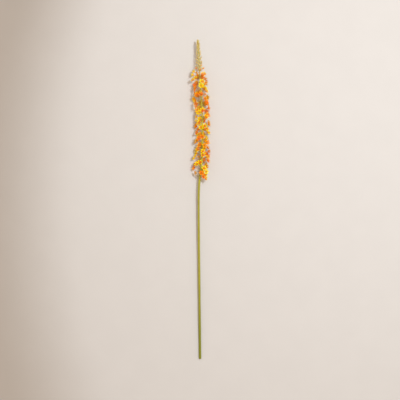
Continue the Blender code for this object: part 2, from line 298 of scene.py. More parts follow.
class FlowerSettings(bpy.types.PropertyGroup):
    """Sizes and colours of an open flower of size 1."""

    petal_length: length_setting("Petal length", "Level length of a petal", 9.5 * MM)
    petal_width: length_setting("Petal width", "Greatest width of an inner petal", 5.5 * MM)
    petal_thickness: length_setting("Petal thickness", "Thickness beside the midrib", 0.16 * MM)
    midrib_thickness: length_setting("Midrib thickness", "How far the midrib stands out", 0.34 * MM)
    filament_radius: length_setting("Filament radius", "Radius of a stamen's thread", 0.26 * MM)
    anther_length: length_setting("Anther length", "Length of a stamen's head", 2.7 * MM)
    anther_radius: length_setting("Anther radius", "Radius of a stamen's head", 0.62 * MM)
    style_height: length_setting("Style height", "Height of the pistil's tip", 8.7 * MM)
    orange: colour_setting("Orange", "Colour of orange petals", (0.98, 0.56, 0.002))
    orange_edge: colour_setting("Orange edge", "Colour of their edges", (0.99, 0.84, 0.005))
    yellow: colour_setting("Yellow", "Colour of yellow petals", (0.99, 0.76, 0.003))
    yellow_edge: colour_setting("Yellow edge", "Colour of their edges", (0.99, 0.97, 0.012))
    red: colour_setting("Red", "Colour of red petals", (0.96, 0.19, 0.002))
    red_edge: colour_setting("Red edge", "Colour of their edges", (0.98, 0.50, 0.003))
    heart: colour_setting("Heart", "Colour of hearts and midribs", (0.92, 0.14, 0.003))
    pollen: colour_setting("Pollen", "Colour of the anthers", (0.90, 0.46, 0.03))
    ovary: colour_setting("Ovary", "Colour of the ovary", (0.42, 0.40, 0.05))


class GreenSettings(bpy.types.PropertyGroup):
    """Sizes and colours of the stalk, the flower stalks, the bracts and the closed buds."""

    rib_depth: length_setting("Rib depth", "Depth of the stalk's ribs", 0.12 * MM)
    bract_length: length_setting("Bract length", "Length of a bract under a flower", 9.5 * MM)
    bract_width: length_setting("Bract width", "Width of a bract at its foot", 2.3 * MM)
    skin: colour_setting("Skin", "Colour of the stalk", (0.385, 0.385, 0.028))
    shade: colour_setting("Shade", "Colour of the stalk's streaks", (0.22, 0.16, 0.028))
    ripe: colour_setting("Ripe", "Colour of the stalk among the flowers", (0.50, 0.475, 0.03))
    fresh: colour_setting("Fresh", "Colour near the cut end", (0.225, 0.25, 0.016))
    bud: colour_setting("Bud", "Colour of the closed buds", (0.84, 0.70, 0.22))
    bract: colour_setting("Bract", "Colour of the bracts", (0.74, 0.64, 0.40))


class StageSettings(bpy.types.PropertyGroup):
    """The floor, the light and the camera."""

    floor_size: length_setting("Floor size", "Width of the floor", 80.0)
    floor_colour: colour_setting("Floor", "Colour of the floor", (0.66, 0.688, 0.708))
    air_colour: colour_setting("Air", "Colour of the light from all round", (0.645, 0.493, 0.375))
    spot_power: FloatProperty(name="Spot power", description="Power of the spot", default=163.0, unit="POWER")
    spot_size: length_setting("Spot size", "Width of the spot's glass", 0.3)
    spot_spread: FloatProperty(
        name="Spot spread", description="Angle of its cone", default=math.radians(72.8), subtype="ANGLE"
    )
    lamp_power: FloatProperty(name="Lamp power", description="Power of the lamp", default=16.0, unit="POWER")
    lamp_size: length_setting("Lamp size", "Width of the soft lamp", 2.6)
    camera_height: length_setting("Camera height", "Height of the camera", 3.275)
    lens: FloatProperty(name="Lens", description="Focal length in mm", default=85.0)


class Wire:
    """A value in a finish. Sums and products of wires add their Math nodes."""

    def __init__(self, finish, socket):
        self.finish = finish
        self.socket = socket

    def maths(self, operation, first, second):
        return self.finish.node("ShaderNodeMath", {"operation": operation}, {0: first, 1: second})

    def __add__(self, other):
        return self.maths("ADD", self, other)

    __radd__ = __add__

    def __sub__(self, other):
        return self.maths("SUBTRACT", self, other)

    def __rsub__(self, other):
        return self.maths("SUBTRACT", other, self)

    def __mul__(self, other):
        return self.maths("MULTIPLY", self, other)

    __rmul__ = __mul__


class Finish:
    """A material in the making: its Principled shader and the nodes that feed it."""

    def __init__(self, name, steady):
        self.material = bpy.data.materials.new(name)
        self.material.use_nodes = True
        self.tree = self.material.node_tree
        self.shader = self.tree.nodes["Principled BSDF"]
        for socket, value in steady.items():
            self.shader.inputs[socket].default_value = value

    def put(self, socket, value):
        if isinstance(value, Wire):
            self.tree.links.new(value.socket, socket)
        elif isinstance(value, (int, float)):
            socket.default_value = value
        else:
            socket.default_value = (*value, 1.0)[: len(socket.default_value)]

    def node(self, kind, settings, inputs, output=0):
        """Any one node: its settings first, then what goes into its sockets, and one of its outputs."""
        made = self.tree.nodes.new(kind)
        for name, value in settings.items():
            setattr(made, name, value)
        for name, value in inputs.items():
            self.put(made.inputs[name], value)
        return Wire(self, made.outputs[output])

    def traits(self):
        return [self.node("ShaderNodeAttribute", {"attribute_name": name}, {}, "Fac") for name in TRAITS]

    def place(self, stretch=(1.0, 1.0, 1.0)):
        """The point on the piece, stretched along each way."""
        point = self.node("ShaderNodeTexCoord", {}, {}, "Object")
        return self.node("ShaderNodeVectorMath", {"operation": "MULTIPLY"}, {0: point, 1: stretch})

    def vector(self, x, y, z):
        return self.node("ShaderNodeCombineXYZ", {}, {"X": x, "Y": y, "Z": z})

    def noise(self, scale, detail=2.0, place=None):
        inputs = {"Vector": place or self.place(), "Scale": scale, "Detail": detail}
        return self.node("ShaderNodeTexNoise", {}, inputs, "Fac")

    def rise(self, value, low, high):
        """0 below low and 1 above high, with a smooth rise between."""
        inputs = {"Value": value, "From Min": low, "From Max": high}
        return self.node("ShaderNodeMapRange", {"interpolation_type": "SMOOTHSTEP"}, inputs)

    def sine(self, value):
        return self.node("ShaderNodeMath", {"operation": "SINE"}, {0: value})

    def blend(self, share, ground, cover):
        """One colour over another, by a share from 0 to 1."""
        return self.node("ShaderNodeMix", {"data_type": "RGBA"}, {0: share, 6: ground, 7: cover}, 2)

    def paint(self, colour, roughness, height, depth):
        """The finished material, with a bump as deep as depth where height goes from 0 to 1."""
        bump = self.node("ShaderNodeBump", {}, {"Height": height, "Distance": depth})
        for socket, value in (("Base Color", colour), ("Roughness", roughness), ("Normal", bump)):
            self.put(self.shader.inputs[socket], value)
        return self.material


class Air(Finish):
    """The light from all round. It meets the far floor's colour at the horizon and is brighter above."""

    def __init__(self, name):
        self.world = bpy.data.worlds.new(name)
        self.world.use_nodes = True
        self.tree = self.world.node_tree
        self.shader = self.tree.nodes["Background"]

    def lit(self, colour, floor):
        way = self.node("ShaderNodeTexCoord", {}, {}, "Generated")
        height = self.node("ShaderNodeSeparateXYZ", {}, {"Vector": way}, "Z")
        horizon = tuple(light * part for light, part in zip(colour, floor))
        self.put(self.shader.inputs["Color"], self.blend(self.rise(height, 0.0, 0.2), horizon, colour))
        return self.world


def petal_finish(name, ground, edge, heart):
    """A satin petal: a dark heart and midrib, fine veins along it, paler edges and a painted glow on its back.
    """
    steady = {
        "Subsurface Weight": 0.15,
        "Subsurface Radius": (1.0, 0.5, 0.1),
        "Subsurface Scale": 1.0 * MM,
        "Specular IOR Level": 0.08,
    }
    finish = Finish(name, steady)
    along, across, inner, tint = finish.traits()
    streaks = finish.noise(1.0, 3.0, finish.vector(along * 2.2, across * 9.0, tint * 37.0))
    mottle = finish.noise(260.0)
    age = finish.rise(finish.noise(34.0, 1.0), 0.34, 0.66)
    shifted = along + (streaks - 0.5) * 0.5 + (0.5 - tint) * 0.7 + (0.5 - age) * 0.5
    colour = finish.blend(finish.rise(shifted, 0.30, 1.0), ground, edge)
    colour = finish.blend(finish.rise(across + (streaks - 0.5) * 0.3, 0.55, 1.0) * 0.55, colour, edge)
    # Painted glow: in streaks the backs of the petals lean towards the heart colour, standing in for light
    # that shines through the thin petals where they lie in shade
    painted_glow = (1 - inner) * finish.rise(streaks, 0.2, 0.7) * 0.45
    colour = finish.blend(painted_glow, colour, tuple(mix(one, other, 0.45) for one, other in zip(ground, heart)))
    flame = 1 - finish.rise(shifted, 0.20, 0.50)
    colour = finish.blend(flame * (inner * 0.35 + 0.6), colour, heart)
    midrib = (1 - finish.rise(across, 0.05, 0.30)) * (1 - finish.rise(along, 0.55, 0.95))
    colour = finish.blend(midrib * (0.8 - inner * 0.35), colour, heart)
    colour = finish.blend(finish.rise(mottle, 0.5, 0.85) * 0.12, colour, heart)
    veins = finish.sine(across * 15.0) * 0.35 + streaks
    return finish.paint(colour, 0.48 + 0.25 * (streaks - 0.5), veins, 0.05 * MM)


def thread_finish(name, foot, head):
    """A stamen's thread or a pistil, with one colour at its foot and another at its head."""
    finish = Finish(name, {"Subsurface Weight": 0.2, "Subsurface Scale": 0.6 * MM})
    along, _, _, _ = finish.traits()
    speckle = finish.noise(900.0)
    colour = finish.blend(finish.rise(along + (speckle - 0.5) * 0.3, 0.15, 0.75), foot, head)
    return finish.paint(colour, 0.45 + 0.2 * (speckle - 0.5), speckle, 0.05 * MM)


def pollen_finish(name, colour):
    """A dusty anther with darker specks."""
    finish = Finish(name, {"Specular IOR Level": 0.2})
    grains = finish.noise(4500.0)
    patches = finish.noise(700.0, 1.0)
    dark = tuple(0.6 * part for part in colour)
    painted = finish.blend(finish.rise(grains, 0.35, 0.6) * 0.7 + patches * 0.3, dark, colour)
    return finish.paint(painted, 0.85 + 0.1 * (patches - 0.5), grains, 0.05 * MM)


def stalk_finish(name, green):
    """A waxy stalk: streaks along it, a fresher green near the cut, and pale pith on the cut face."""
    finish = Finish(name, {"Coat Weight": 0.06, "Specular IOR Level": 0.4})
    along, across, inner, _ = finish.traits()
    fibres = finish.noise(900.0, 3.0, finish.place((1.0, 0.035, 1.0)))
    patches = finish.noise(70.0, 3.0, finish.place((1.0, 0.25, 1.0)))
    colour = finish.blend(finish.rise(fibres, 0.42, 0.75) * 0.6, green.skin, green.shade)
    colour = finish.blend(finish.rise(patches, 0.5, 0.75) * 0.45, colour, green.shade)
    colour = finish.blend(1 - finish.rise(along + (patches - 0.5) * 0.2, 0.04, 0.3), colour, green.fresh)
    colour = finish.blend(finish.rise(along + (patches - 0.5) * 0.05, 0.53, 0.60) * 0.85, colour, green.ripe)
    colour = finish.blend(finish.rise(along, 0.84, 0.93) * 0.7, colour, green.bud)
    dots = finish.rise(finish.noise(1500.0, 1.0), 0.55, 0.62)
    colour = finish.blend(inner, colour, finish.blend(dots * 0.6, PITH, green.fresh))
    ribs = finish.sine(across * (2 * math.pi * 5 * STALK_RIBS))
    return finish.paint(colour, 0.48 + 0.25 * (patches - 0.5), ribs * 0.2 + fibres, 0.12 * MM)


def sprig_finish(name, green, blush):
    """A flower's own stalk, green at its foot and tinged with the flower's colour at its head."""
    finish = Finish(name, {"Specular IOR Level": 0.35})
    along, _, _, tint = finish.traits()
    patches = finish.noise(320.0)
    colour = finish.blend(finish.rise(patches, 0.35, 0.7), green.skin, green.ripe)
    colour = finish.blend(finish.rise(along + (tint - 0.5) * 0.5, 0.35, 0.95), colour, blush)
    return finish.paint(colour, 0.5 + 0.2 * (patches - 0.5), patches, 0.08 * MM)


def bud_finish(name, body, rib, foot, rib_share=0.85):
    """A closed bud of wrapped petals: a darker rib down the middle of each and its own colour at the foot."""
    finish = Finish(name, {"Subsurface Weight": 0.12, "Subsurface Scale": 1.0 * MM, "Coat Weight": 0.04})
    along, across, _, tint = finish.traits()
    patches = finish.noise(380.0)
    colour = finish.blend(1 - finish.rise(along + (patches - 0.5) * 0.25, 0.0, 0.4), body, foot)
    ribs = (1 - finish.rise(across, 0.05, 0.4)) * finish.rise(along, 0.1, 0.4)
    colour = finish.blend(ribs * rib_share, colour, rib)
    colour = finish.blend(finish.rise(tint + (patches - 0.5) * 0.6, 0.45, 1.0) * 0.45, colour, rib)
    return finish.paint(colour, 0.46 + 0.2 * (patches - 0.5), patches - ribs * 0.6, 0.12 * MM)


def bract_finish(name, green):
    """A thin papery bract with a green midrib and a browned tip."""
    steady = {"Subsurface Weight": 0.15, "Subsurface Scale": 0.5 * MM, "Specular IOR Level": 0.25}
    finish = Finish(name, steady)
    along, across, _, tint = finish.traits()
    fibres = finish.noise(1.0, 2.0, finish.vector(along * 3.0, across * 6.0, tint * 31.0))
    colour = finish.blend((1 - finish.rise(across, 0.1, 0.5)) * 0.7, green.bract, green.skin)
    brown = tuple(0.72 * part for part in green.bract)
    colour = finish.blend(finish.rise(along + (fibres - 0.5) * 0.5, 0.6, 1.0) * 0.8, colour, brown)
    return finish.paint(colour, 0.6 + 0.2 * (fibres - 0.5), fibres, 0.06 * MM)


def floor_finish(name, colour):
    """Smooth pale plaster with a faint mottle."""
    finish = Finish(name, {"Specular IOR Level": 0.2})
    clouds = finish.noise(11.0, 3.0)
    grain = finish.noise(160.0)
    darker = tuple(0.985 * part for part in colour)
    painted = finish.blend(finish.rise(clouds, 0.3, 0.7), colour, darker)
    return finish.paint(painted, 0.85 + 0.1 * (clouds - 0.5), grain, 0.15 * MM)


class Growth:
    """The points and faces of one piece, gathered from closed skins, with their traits and finishes."""

    def __init__(self):
        self.points = []
        self.faces = []
        self.finishes = []
        self.traits = []
        self.count = 0

    def skin(self, rings, finish=0, along=0.0, across=0.0, inner=0.0, tint=0.5):
        """A closed skin through rings of points, with a flat face at each end."""
        rows, sides = rings.shape[:2]
        index = self.count + np.arange(rows * sides).reshape(rows, sides)
        low, high = index[:-1], index[1:]
        quads = np.stack((low, np.roll(low, -1, 1), np.roll(high, -1, 1), high), axis=-1).reshape(-1, 4)
        faces = quads.tolist() + [index[0][::-1].tolist(), index[-1].tolist()]
        traits = [np.broadcast_to(value, (rows, sides)).ravel() for value in (along, across, inner, tint)]
        self.points.append(rings.reshape(-1, 3))
        self.traits.append(np.stack(traits, axis=-1))
        self.faces += faces
        self.finishes += [finish] * len(faces)
        self.count += rows * sides

    def piece(self, name, materials, nodes):
        """One object of everything gathered, which stands for the solids of these nodes."""
        points = np.concatenate(self.points)
        points[:, 2] = above_floor(points[:, 2])
        traits = np.concatenate(self.traits)
        mesh = bpy.data.meshes.new(name)
        mesh.from_pydata(points.tolist(), [], self.faces)
        for material in materials:
            mesh.materials.append(material)
        mesh.polygons.foreach_set("material_index", self.finishes)
        for column, trait in enumerate(TRAITS):
            values = mesh.attributes.new(trait, "FLOAT", "POINT")
            values.data.foreach_set("value", traits[:, column].astype(np.float32))
        mesh.shade_smooth()
        mesh.set_sharp_from_angle(angle=SHARPEST_BEND)
        made = add_object(name, mesh)
        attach(made, BODY)
        if nodes:
            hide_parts(*nodes)


def add_object(name, data):
    made = bpy.data.objects.new(name, data)
    bpy.context.scene.collection.objects.link(made)
    return made


def above_floor(heights):
    """Heights as they are, except that what would be near or under the floor flattens softly above it."""
    low = heights < SOFT_FLOOR
    span = SOFT_FLOOR - FLOOR_GAP
    flattened = FLOOR_GAP + span * np.exp((np.minimum(heights, SOFT_FLOOR) - SOFT_FLOOR) / span)
    return np.where(low, flattened, heights)


def mix(low, high, share):
    return low + (high - low) * share


def unit(way):
    return way / np.linalg.norm(way)


def around(count):
    """Angles spaced evenly round a circle."""
    return 2 * math.pi * np.arange(count) / count


def line_value(along, column):
    """Sideways or height of the stalk's centre, on a smooth curve through STALK_LINE's points."""
    xs = [row[0] * MM for row in STALK_LINE]
    ys = [row[column] * MM for row in STALK_LINE]
    last = len(xs) - 1
    i = max(0, min(last - 1, sum(x <= along for x in xs) - 1))

    def slope(k):
        before, after = max(0, k - 1), min(last, k + 1)
        return (ys[after] - ys[before]) / (xs[after] - xs[before])

    span = xs[i + 1] - xs[i]
    t = (along - xs[i]) / span
    return (
        ys[i] * (2 * t**3 - 3 * t**2 + 1)
        + slope(i) * span * (t**3 - 2 * t**2 + t)
        + ys[i + 1] * (3 * t**2 - 2 * t**3)
        + slope(i + 1) * span * (t**3 - t**2)
    )


def stalk_centre(along):
    return np.array((line_value(along, 1), along, line_value(along, 2)))


def stalk_axes(along):
    """The way along the stalk, the level way across it and the way up from it."""
    step = 1.0 * MM
    way = unit(stalk_centre(along + step) - stalk_centre(along - step))
    across = unit(np.cross(way, (0, 0, 1)))
    return way, across, np.cross(across, way)


def stalk_radius(along):
    if along < SPIKE_FOOT:
        return mix(CUT_RADIUS, SPIKE_FOOT_RADIUS, (along - CUT_END) / (SPIKE_FOOT - CUT_END))
    return mix(SPIKE_FOOT_RADIUS, TIP_RADIUS, (along - SPIKE_FOOT) / (TIP - SPIKE_FOOT))


def outward(along, turn):
    _, across, up = stalk_axes(along)
    return across * math.cos(turn) + up * math.sin(turn)


def tube_rings(line, radii, sides, first):
    """Rings round a line of points. radii has one value a ring, or one for each point of each ring."""
    line = np.asarray(line, float)
    ways = np.gradient(line, axis=0)
    radii = np.broadcast_to(np.asarray(radii, float).reshape(len(line), -1), (len(line), sides))
    angles = around(sides)
    side = np.asarray(first, float)
    rings = []
    for place, way, radius in zip(line, ways, radii):
        way = unit(way)
        side = unit(side - way * (side @ way))
        other = np.cross(way, side)
        spokes = np.outer(np.cos(angles), side) + np.outer(np.sin(angles), other)
        rings.append(place + spokes * radius[:, None])
    return np.array(rings)


def bent_line(start, bend, end, count):
    """A smooth line from start to end that passes near bend."""
    t = np.linspace(0, 1, count)[:, None]
    pull = 2 * np.asarray(bend) - (np.asarray(start) + np.asarray(end)) / 2
    return (1 - t) ** 2 * start + 2 * t * (1 - t) * pull + t**2 * end


def profile(points, shares):
    """A smooth outline through (share, value) points, read at each share."""
    places, values = zip(*points)
    fine = np.linspace(places[0], places[-1], 65)
    rough = np.interp(fine, places, values)
    soft = np.convolve(np.pad(rough, 4, mode="edge"), np.ones(9) / 9, mode="valid")
    return np.interp(shares, fine, soft)


def stray(dice, most):
    """A draw to either side of nothing."""
    return dice.uniform(-most, most)


class Flower:
    """Where a flower or orange bud sits: its seat, its axes, its size and how far its petals close."""

    def __init__(self, seat, facing, towards, size, closing):
        self.seat = np.array(seat)
        self.facing = unit(np.array(facing))
        self.first = unit(np.array(towards) - self.facing * (np.array(towards) @ self.facing))
        self.second = np.cross(self.facing, self.first)
        self.size = size
        self.closing = closing

    def axes(self, angle):
        """The way out along a petal at that angle, and the way across it."""
        ray = self.first * math.cos(angle) + self.second * math.sin(angle)
        return ray, np.cross(self.facing, ray)

    def at(self, out, height, angle, aside=0.0):
        """Points by their distance out, height and shift aside on a flower of size 1."""
        ray, across = self.axes(angle)
        out, height, aside = (np.asarray(value, float)[..., None] for value in (out, height, aside))
        return self.seat + (ray * out + self.facing * height + across * aside) * self.size


def nodes_of(kind):
    return sorted(node for node in frame["nodes"] if node.startswith(kind))


def node_mesh(node):
    """A solid's mesh with each corner's copies merged."""
    mesh = bmesh.new()
    mesh.from_mesh(frame["nodes"][node].data)
    bmesh.ops.remove_doubles(mesh, verts=mesh.verts, dist=CORNER_GAP)
    return mesh


def flowers_of(node):
    """The flowers of a pair. Six long stamens stand round the middle of each hub in its solid."""
    mesh = node_mesh(node)
    stamens = {}
    for tip in mesh.verts:
        if min(edge.calc_length() for edge in tip.link_edges) > SHORTEST_STAMEN:
            for edge in tip.link_edges:
                stamens.setdefault(edge.other_vert(tip), []).append(tip.co)
    found = []
    for middle, tips in stamens.items():
        if len(tips) < 6:
            continue
        axis = sum(tips, Vector()) / len(tips) - middle.co
        size = axis.length / (STAMEN_TIP_HEIGHT - HUB_HEIGHT)
        facing = axis.normalized()
        seat = middle.co - facing * HUB_HEIGHT * size
        rises = []
        for point in (vertex.co - seat for vertex in mesh.verts):
            height = point.dot(facing)
            out = (point - facing * height).length / size
            if PETAL_END_OUT[0] < out < PETAL_END_OUT[1]:
                rises.append((height / size - PETAL_END_HEIGHT) / CLOSING_RISE)
        closing = float(np.clip(np.median(rises), 0, 1))
        found.append(Flower(seat, facing, tips[0] - seat, size, closing))
    mesh.free()
    if len(found) != 2:
        raise RuntimeError(f"{node} holds {len(found)} flowers and not 2")
    return found


def petal_width(shares):
    """A petal's half width along it, as a share of the greatest: a claw, then a round blade."""
    rise = np.sin(np.minimum(shares / PETAL_WIDEST, 1) * math.pi / 2)
    claw = PETAL_CLAW_WIDTH + (1 - PETAL_CLAW_WIDTH) * rise**1.6
    blunt = np.clip((shares - PETAL_WIDEST) / (1 - PETAL_WIDEST), 0, 1)
    return claw * (1 - blunt**2.2) ** 0.62


def add_petal(growth, flower, turn, outer, tint, dice, look):
    """One petal: a thin blade, cupped along its middle, with a midrib, a waved edge and a bent tip."""
    share = PETAL_ROWS[:, None]
    spot = PETAL_SPOTS[None, :]
    length = look.petal_length * dice.uniform(*PETAL_LENGTHS)
    half = look.petal_width / 2 * dice.uniform(*PETAL_WIDTHS) * (OUTER_NARROWING if outer else 1.0)
    curl = dice.uniform(*PETAL_CURLS)
    wave = dice.uniform(*EDGE_WAVES)
    phase = dice.uniform(0, 2 * math.pi)
    twist = stray(dice, PETAL_TWIST)
    sideways = stray(dice, PETAL_SWING)
    cup = dice.uniform(*PETAL_CUPS)

    run = length * share
    height = PETAL_CLAW_HEIGHT + PETAL_SLOPE * run - PETAL_BOW * run**2
    height = height - curl * np.maximum(share - CURL_START, 0) ** 2 - (OUTER_DROP if outer else 0.0)
    width = half * petal_width(share)
    aside = spot * width + sideways * share**2
    lift = cup * width * spot**2 * (1.15 - 0.6 * share)
    lift = lift + wave * np.sin(2 * math.pi * EDGE_WAVE_COUNT * share + phase + spot) * abs(spot) ** 3 * share
    lift = lift + spot * width * math.sin(twist) * share
    groove = look.midrib_thickness / 4 * np.exp(-((spot / GROOVE_WIDTH) ** 2)) * (1 - share**2)
    keel = look.midrib_thickness * np.exp(-((spot / KEEL_WIDTH) ** 2)) * (1 - 0.8 * share)
    top = height + lift - groove
    bottom = height + lift - look.petal_thickness - keel

    inward = 1 - CLOSING_INWARD * flower.closing
    risen = (PETAL_CLAW_OUT + run) * CLOSING_UPWARD * flower.closing
    out = np.broadcast_to((PETAL_CLAW_OUT + run) * inward, aside.shape)
    upper = flower.at(out, top + risen, turn, aside * inward)[:, ::-1]
    lower = flower.at(out, bottom + risen, turn, aside * inward)
    across = np.concatenate((abs(spot[:, ::-1]), abs(spot)), axis=1)
    inner = np.concatenate((np.ones_like(spot), np.zeros_like(spot)), axis=1)
    rings = np.concatenate((upper, lower), axis=1)
    growth.skin(rings, PETAL_FINISH, along=share, across=across, inner=inner, tint=tint)


def add_stamen(growth, flower, turn, dice, look):
    """A thread that rises from the heart and its anther, held at its middle."""
    foot = flower.at(*STAMEN_FOOT, turn)
    knee = flower.at(dice.uniform(*KNEE_OUTS), KNEE_HEIGHT, turn, stray(dice, KNEE_STRAY))
    head = flower.at(dice.uniform(*HEAD_OUTS), dice.uniform(*HEAD_HEIGHTS), turn, stray(dice, HEAD_STRAY))
    shares = np.linspace(0, 1, 7)[:, None]
    radii = look.filament_radius * flower.size * mix(*FILAMENT_ENDS, shares)
    rings = tube_rings(bent_line(foot, knee, head, 7), radii, 6, flower.first)
    growth.skin(rings, THREAD_FINISH, along=shares)

    lean = dice.uniform(*ANTHER_LEANS)
    ray, across = flower.axes(dice.uniform(0, 2 * math.pi))
    way = flower.facing * math.cos(lean) + ray * math.sin(lean)
    half = way * look.anther_length * flower.size / 2
    shares = np.linspace(0, 1, 6)
    line = head + flower.facing * ANTHER_RISE + np.outer(2 * shares - 1, half)
    radii = look.anther_radius * flower.size * profile(ANTHER_OUTLINE, shares)
    lobes = np.outer(radii, 1 + ANTHER_LOBING * np.cos(2 * around(8)))
    growth.skin(tube_rings(line, lobes, 8, across), POLLEN_FINISH, along=shares[:, None])


def add_pistil(growth, flower, dice, look):
    """A three-lobed ovary with a thin bent style and its small stigma."""
    turn = dice.uniform(0, 2 * math.pi)
    bend = dice.uniform(*STYLE_BENDS)
    foot, head, top = OVARY[0][1], OVARY[-1][1], look.style_height
    rows = [*OVARY, *((STYLE_RADIUS, mix(head, top, share)) for share in STYLE_SHARES)]
    rows += [(radius, top + rise) for radius, rise in STIGMA]
    radii, heights = np.transpose(rows)
    line = flower.at(bend * np.maximum(0, (heights - STYLE_BEND_FOOT) / STYLE_BEND_SPAN) ** 2, heights, turn)
    lobes = 1 + np.outer(np.where(heights < head, OVARY_LOBING, 0.0), np.cos(3 * around(12)))
    rings = tube_rings(line, radii[:, None] * lobes * flower.size, 12, flower.first)
    growth.skin(rings, PISTIL_FINISH, along=np.clip((heights - foot) / (top - foot), 0, 1)[:, None])


def add_receptacle(growth, flower, tint):
    """The small cup on which the petals stand, at the end of the flower's stalk."""
    radii, heights = np.transpose(RECEPTACLE)
    rings = tube_rings(flower.at(0.0 * heights, heights, 0.0), radii * flower.size, 12, flower.first)
    along = np.linspace(0.8, 1.2, len(heights))[:, None]
    growth.skin(rings, SPRIG_FINISH, along=along, tint=tint)


def add_open_flower(growth, flower, dice, look):
    """A whole flower, with petals that differ a little in tint."""
    tint = dice.random()
    add_receptacle(growth, flower, tint)
    add_pistil(growth, flower, dice, look)
    for i in range(PETALS):
        turn = i * PETAL_TURN
        own = min(1.0, max(0.0, tint + stray(dice, TINT_PLAY)))
        add_petal(growth, flower, turn, bool(i % 2), own, dice, look)
        add_stamen(growth, flower, turn + stray(dice, STAMEN_TURN), dice, look)


def add_bud(growth, foot, way, length, radius, stations, tint, dice, grid):
    """A closed bud: petals wrapped round each other, each with its own swelling and a slight turn."""
    rows, sides = grid
    shares = np.sin(np.linspace(0, 1, rows) ** 0.9 * math.pi / 2)
    wrap = dice.uniform(0, 2 * math.pi) + BUD_WRAP * shares[:, None]
    petals = abs(np.cos(1.5 * (around(sides)[None, :] + wrap)))
    swelling = 1 + BUD_SWELLING * (petals - 0.6) * np.sin(np.clip(shares, 0.02, 1) * math.pi)[:, None] ** 0.5
    radii = radius * profile(stations, shares)[:, None] * swelling
    bend = unit(np.cross(way, (0.3, 0.5, 0.8))) * length * stray(dice, BUD_BEND)
    line = foot + np.outer(shares * length, way) + np.outer(shares**2, bend)
    rings = tube_rings(line, radii, sides, np.cross(way, (0.1, 0.2, 0.9)))
    growth.skin(rings, along=shares[:, None], across=1 - petals, tint=tint)


def add_bract(growth, root, way, out, length, width, tint):
    """A thin pointed bract that leaves the stalk and bends out along what it grew under."""
    end, bend = (root + (way * along + out * away) * length for along, away in (BRACT_END, BRACT_BEND))
    line = bent_line(root - out * BRACT_ROOT_DEPTH, bend, end, 8)
    shares = np.linspace(0, 1, 8)
    side = unit(np.cross(way, out))
    rings = []
    for place, along, share in zip(line, np.gradient(line, axis=0), shares):
        breadth = width / 2 * (1 - share) ** 0.7 + BRACT_TIP
        upper, under = BRACT_FOLD * breadth, BRACT_FOLD * breadth - BRACT_EDGE
        spots = ((1, upper), (0, BRACT_RIB[0]), (-1, upper), (-1, under), (0, BRACT_RIB[1]), (1, under))
        normal = unit(np.cross(along, side))
        rings.append([place + side * breadth * across + normal * lift for across, lift in spots])
    across = np.array((1, 0, 1, 1, 0, 1.0))[None, :]
    growth.skin(np.array(rings), along=shares[:, None], across=across, tint=tint)


def root_of(flower):
    """Where a flower's stalk leaves the main stalk: the place along it, its surface there and the way out."""
    along = flower.seat[1] - PEDICEL_RISE
    foot = stalk_centre(along)
    way, _, _ = stalk_axes(along)
    end = flower.seat - foot
    out = unit(end - way * (end @ way))
    return along, foot, way, out


def stalk_line(flower, count):
    """The bent line of a flower's own stalk, from inside the main stalk to the flower."""
    along, foot, way, out = root_of(flower)
    root = foot + out * (stalk_radius(along) - PEDICEL_ROOT_DEPTH)
    end = flower.seat - flower.facing * PEDICEL_END_GAP
    leaving = unit(out + way * 0.5)
    bend = (root + end) / 2 + (leaving - flower.facing) * np.linalg.norm(end - root) / 8
    return bent_line(root, bend, end, count), way


def add_flower_stalk(growth, flower, tint):
    """The thin stalk of one flower, swollen at its foot and under the flower."""
    line, way = stalk_line(flower, 12)
    shares = np.linspace(0, 1, 12)
    radii = np.interp(shares, *zip(*PEDICEL_RADII)) * MM
    growth.skin(tube_rings(line, radii, 9, way), along=shares[:, None], tint=tint)


def large_bud_of(node):
    """An orange bud, read from its solid: its foot is the middle of the six corners farthest from its tip."""
    mesh = node_mesh(node)
    pointed = max(mesh.verts, key=lambda vertex: vertex.calc_shell_factor())
    tip = pointed.co.copy()
    far = sorted((vertex.co for vertex in mesh.verts), key=lambda point: -(point - tip).length)[:6]
    foot = sum(far, Vector()) / 6
    mesh.free()
    axis = tip - foot
    return Flower(foot, axis, Vector((0, 1, 0)), axis.length / LARGE_BUD_LENGTH, 0.0)


@functools.cache
def solid_flowers():
    """Every flower and orange bud that has a solid."""
    found = [flower for node in nodes_of("bloom_pair") for flower in flowers_of(node)]
    return found + [large_bud_of(node) for node in nodes_of("large_bud")]


class Shape:
    """The surface of one small solid, to test a flower's or a bud's place against."""

    def __init__(self, mesh):
        self.tree = BVHTree.FromBMesh(mesh)
        self.points = [vertex.co.copy() for vertex in mesh.verts]
        self.centre = sum(self.points, Vector()) / len(self.points)
        self.radius = max((point - self.centre).length for point in self.points)
        mesh.free()

    def crosses(self, other):
        near = (self.centre - other.centre).length < self.radius + other.radius
        return near and bool(self.tree.overlap(other.tree))

    def clear_of(self, other):
        if (self.centre - other.centre).length > self.radius + other.radius + NEIGHBOUR_GAP:
            return True
        if self.tree.overlap(other.tree):
            return False
        mine = any(other.tree.find_nearest(point, NEIGHBOUR_GAP)[0] for point in self.points)
        theirs = any(self.tree.find_nearest(point, NEIGHBOUR_GAP)[0] for point in other.points)
        return not mine and not theirs


def plain_bud(root, pointing, way, neck, length, thickness):
    """The four-sided solid of a closed bud."""
    first = (way - pointing * way.dot(pointing)).normalized()
    second = pointing.cross(first)
    mesh = bmesh.new()
    rows = []
    for place, radius in ((0.0, thickness * BUD_FOOT_SHARE), (neck + length * BUD_BELLY_SHARE, thickness)):
        row = []
        for i in range(4):
            angle = 2 * math.pi * (i + 0.5) / 4
            spoke = first * math.cos(angle) + second * math.sin(angle)
            row.append(mesh.verts.new(root + pointing * place + spoke * radius))
        rows.append(row)
    tip = mesh.verts.new(root + pointing * (neck + length))
    for i in range(4):
        j = (i + 1) % 4
        mesh.faces.new((rows[0][i], rows[0][j], rows[1][j], rows[1][i]))
        mesh.faces.new((rows[1][i], rows[1][j], tip))
    mesh.faces.new(rows[0])
    return Shape(mesh)


